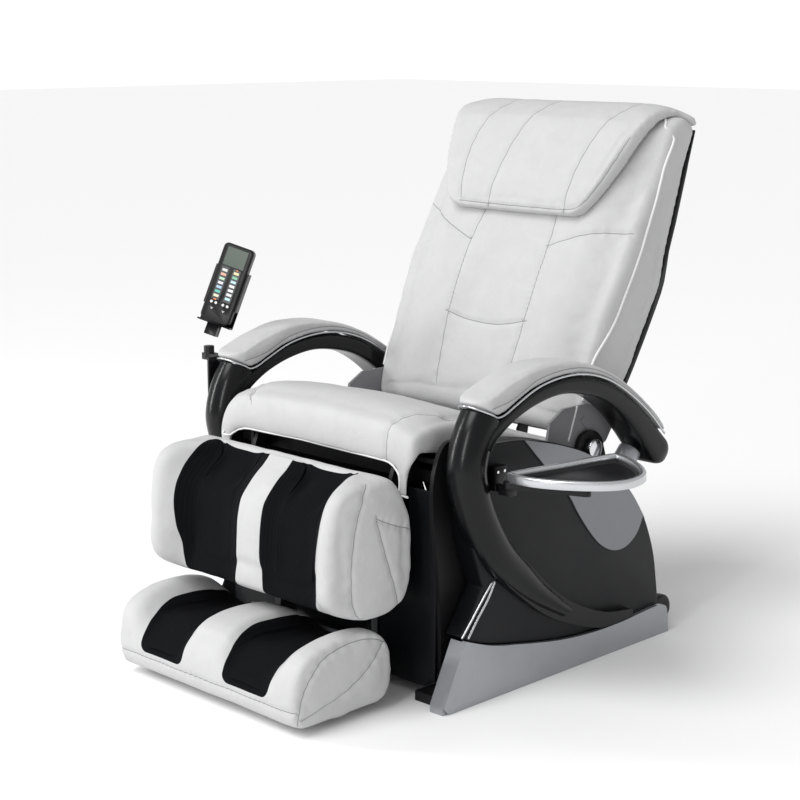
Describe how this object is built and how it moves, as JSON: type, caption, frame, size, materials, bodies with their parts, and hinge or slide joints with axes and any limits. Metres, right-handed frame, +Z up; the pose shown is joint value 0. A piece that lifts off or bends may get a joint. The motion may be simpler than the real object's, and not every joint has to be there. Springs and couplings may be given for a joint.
{
  "type": "massage chair",
  "caption": "Powered massage chair with reclining back, lifting leg and foot rest, hooped armrests, swing-out side tray and a remote control on a stand.",
  "frame": {"origin": "on the floor, midway between the side shells, under the front half of the seat", "axes": "+Z up, -Y is the way the sitter looks, +X is the sitter's left hand"},
  "size_m": [1.0625, 1.1134, 1.0748],
  "materials": {
    "leather": "soft satin",
    "steel": "satin black paint",
    "bright_steel": "bright",
    "silver_plastic": "silver metallic paint",
    "gloss_black": "gloss",
    "shell_black": "satin",
    "grey_plastic": "satin",
    "black_plastic": "satin",
    "roller_plastic": "satin",
    "screen_glass": "gloss",
    "key_plastic": "gloss"
  },
  "bodies": {
    "base": {"base_frame": "steel", "front_cover": "shell_black", "rear_cover": "shell_black", "seat_pan": "steel", "seat_cushion": "leather", "power_inlet": "black_plastic", "control_box": "black_plastic", "tray_hinge": "black_plastic", "remote_bracket": "black_plastic", "side_shell_left": "shell_black", "side_inset_left": "grey_plastic", "side_skirt_left": "silver_plastic", "armrest_hoop_left": "gloss_black", "armrest_trim_left": "silver_plastic", "armrest_pad_left": "leather", "armrest_strut_left": "silver_plastic", "back_pivot_left": "bright_steel", "side_shell_right": "shell_black", "side_inset_right": "grey_plastic", "side_skirt_right": "silver_plastic", "armrest_hoop_right": "gloss_black", "armrest_trim_right": "silver_plastic", "armrest_pad_right": "leather", "armrest_strut_right": "silver_plastic", "back_pivot_right": "bright_steel"},
    "back": {"back_frame": "steel", "back_shell": "shell_black", "back_cushion": "leather", "head_pillow": "leather"},
    "screw": {"lead_screw": "bright_steel"},
    "carriage": {"massage_carriage": "steel"},
    "knead_left": {"kneading_arm_left": "steel"},
    "knead_right": {"kneading_arm_right": "steel"},
    "leg": {"leg_frame": "steel", "calf_rest": "leather"},
    "foot": {"foot_frame": "bright_steel", "foot_rest": "leather"},
    "leg_motor": {"leg_motor_tube": "black_plastic"},
    "leg_motor_shaft": {"leg_motor_rod": "bright_steel"},
    "back_motor": {"back_motor_tube": "black_plastic"},
    "back_motor_shaft": {"back_motor_rod": "bright_steel"},
    "tray": {"tray_arm": "black_plastic", "tray_rim": "silver_plastic", "tray_dish": "black_plastic"},
    "cradle": {"remote_cradle": "black_plastic"},
    "remote": {"remote_body": "black_plastic", "remote_screen": "screen_glass"},
    "rocker": {"power_switch": "black_plastic"},
    "roller_upper_left": {"roller_upper_left": "roller_plastic"},
    "roller_upper_right": {"roller_upper_right": "roller_plastic"},
    "roller_lower_left": {"roller_lower_left": "roller_plastic"},
    "roller_lower_right": {"roller_lower_right": "roller_plastic"},
    "wheel_left": {"transport_wheel_left": "black_plastic"},
    "wheel_right": {"transport_wheel_right": "black_plastic"},
    "push_round_key_1": {"round_key_1": "key_plastic"},
    "push_round_key_2": {"round_key_2": "key_plastic"},
    "push_round_key_3": {"round_key_3": "key_plastic"},
    "push_round_key_4": {"round_key_4": "key_plastic"},
    "push_mode_key_1": {"mode_key_1": "key_plastic"},
    "push_mode_key_2": {"mode_key_2": "key_plastic"}
  },
  "joints": [
    {"name": "back_recline", "type": "hinge", "parent": "base", "child": "back", "pos_m": [0, 0.06, 0.412], "axis": [-1, 0, 0], "range_deg": [-10, 42]},
    {"name": "leg_lift", "type": "hinge", "parent": "base", "child": "leg", "pos_m": [0, -0.372, 0.447], "axis": [-1, 0, 0], "range_deg": [0, 70]},
    {"name": "foot_extend", "type": "slide", "parent": "leg", "child": "foot", "axis": [0, 0, -1], "range_m": [0, 0.1]},
    {"name": "leg_motor_tilt", "type": "hinge", "parent": "base", "child": "leg_motor", "pos_m": [-0.085, 0.1, 0.06], "axis": [-1, 0, 0], "range_deg": [-5, 5]},
    {"name": "leg_motor_stroke", "type": "slide", "parent": "leg_motor", "child": "leg_motor_shaft", "axis": [0, -0.9243, 0.3818], "range_m": [0, 0.226]},
    {"name": "back_motor_tilt", "type": "hinge", "parent": "base", "child": "back_motor", "pos_m": [0.08, -0.28, 0.07], "axis": [1, 0, 0], "range_deg": [-4, 12]},
    {"name": "back_motor_stroke", "type": "slide", "parent": "back_motor", "child": "back_motor_shaft", "axis": [0, 0.8486, 0.5291], "range_m": [-0.056, 0.014]},
    {"name": "carriage_slide", "type": "slide", "parent": "back", "child": "carriage", "axis": [0, 0.4772, 0.8788], "range_m": [-0.155, 0.23]},
    {"name": "screw_turn", "type": "hinge", "parent": "back", "child": "screw", "pos_m": [0, 0.0697, 0.4068], "axis": [0, 0.4772, 0.8788], "range_deg": [-2800, 4150]},
    {"name": "knead_left_turn", "type": "hinge", "parent": "carriage", "child": "knead_left", "pos_m": [0.06, 0.2048, 0.6975], "axis": [0, 0.8788, -0.4772], "range_deg": [-7, 7]},
    {"name": "knead_right_turn", "type": "hinge", "parent": "carriage", "child": "knead_right", "pos_m": [-0.06, 0.2048, 0.6975], "axis": [0, 0.8788, -0.4772], "range_deg": [-7, 7]},
    {"name": "roller_upper_left_spin", "type": "hinge", "parent": "knead_left", "child": "roller_upper_left", "pos_m": [0.0795, 0.2058, 0.7539], "axis": [1, 0, 0], "continuous": true},
    {"name": "roller_upper_right_spin", "type": "hinge", "parent": "knead_right", "child": "roller_upper_right", "pos_m": [-0.0795, 0.2058, 0.7539], "axis": [1, 0, 0], "continuous": true},
    {"name": "roller_lower_left_spin", "type": "hinge", "parent": "knead_left", "child": "roller_lower_left", "pos_m": [0.0795, 0.1581, 0.666], "axis": [1, 0, 0], "continuous": true},
    {"name": "roller_lower_right_spin", "type": "hinge", "parent": "knead_right", "child": "roller_lower_right", "pos_m": [-0.0795, 0.1581, 0.666], "axis": [1, 0, 0], "continuous": true},
    {"name": "tray_swivel", "type": "hinge", "parent": "base", "child": "tray", "pos_m": [0.4, -0.3, 0.43], "axis": [0, 0, -1], "range_deg": [0, 75]},
    {"name": "remote_swivel", "type": "hinge", "parent": "base", "child": "cradle", "pos_m": [-0.431, -0.311, 0.58], "axis": [0, 0, 1], "range_deg": [-45, 60]},
    {"name": "remote_lift", "type": "slide", "parent": "cradle", "child": "remote", "axis": [0.1397, 0.3392, 0.9303], "range_m": [0, 0.13]},
    {"name": "round_key_1_press", "type": "slide", "parent": "remote", "child": "push_round_key_1", "axis": [-0.561, 0.8013, -0.2079], "range_m": [0, 0.0012], "stiffness_N_per_m": 200},
    {"name": "round_key_2_press", "type": "slide", "parent": "remote", "child": "push_round_key_2", "axis": [-0.561, 0.8013, -0.2079], "range_m": [0, 0.0012], "stiffness_N_per_m": 200},
    {"name": "round_key_3_press", "type": "slide", "parent": "remote", "child": "push_round_key_3", "axis": [-0.561, 0.8013, -0.2079], "range_m": [0, 0.0012], "stiffness_N_per_m": 200},
    {"name": "round_key_4_press", "type": "slide", "parent": "remote", "child": "push_round_key_4", "axis": [-0.561, 0.8013, -0.2079], "range_m": [0, 0.0012], "stiffness_N_per_m": 200},
    {"name": "mode_key_1_press", "type": "slide", "parent": "remote", "child": "push_mode_key_1", "axis": [-0.561, 0.8013, -0.2079], "range_m": [0, 0.0012], "stiffness_N_per_m": 200},
    {"name": "mode_key_2_press", "type": "slide", "parent": "remote", "child": "push_mode_key_2", "axis": [-0.561, 0.8013, -0.2079], "range_m": [0, 0.0012], "stiffness_N_per_m": 200},
    {"name": "power_rocker", "type": "hinge", "parent": "base", "child": "rocker", "pos_m": [0.1453, 0.2362, 0.065], "axis": [1, 0, 0], "range_deg": [-14, 0]},
    {"name": "wheel_left_spin", "type": "hinge", "parent": "base", "child": "wheel_left", "pos_m": [0.3045, 0.288, 0.0315], "axis": [1, 0, 0], "continuous": true},
    {"name": "wheel_right_spin", "type": "hinge", "parent": "base", "child": "wheel_right", "pos_m": [-0.3045, 0.288, 0.0315], "axis": [1, 0, 0], "continuous": true}
  ],
  "couplings": [
    {"joint": "foot_extend", "follows": "leg_lift", "m_per_rad": 0.0818},
    {"joint": "leg_motor_tilt", "follows": "leg_lift", "ratio": 0.04},
    {"joint": "leg_motor_stroke", "follows": "leg_lift", "m_per_rad": 0.1836},
    {"joint": "back_motor_tilt", "follows": "back_recline", "ratio": 0.27},
    {"joint": "back_motor_stroke", "follows": "back_recline", "m_per_rad": -0.075},
    {"joint": "screw_turn", "follows": "carriage_slide", "rad_per_m": 314.16},
    {"joint": "knead_right_turn", "follows": "knead_left_turn", "ratio": -1}
  ]
}
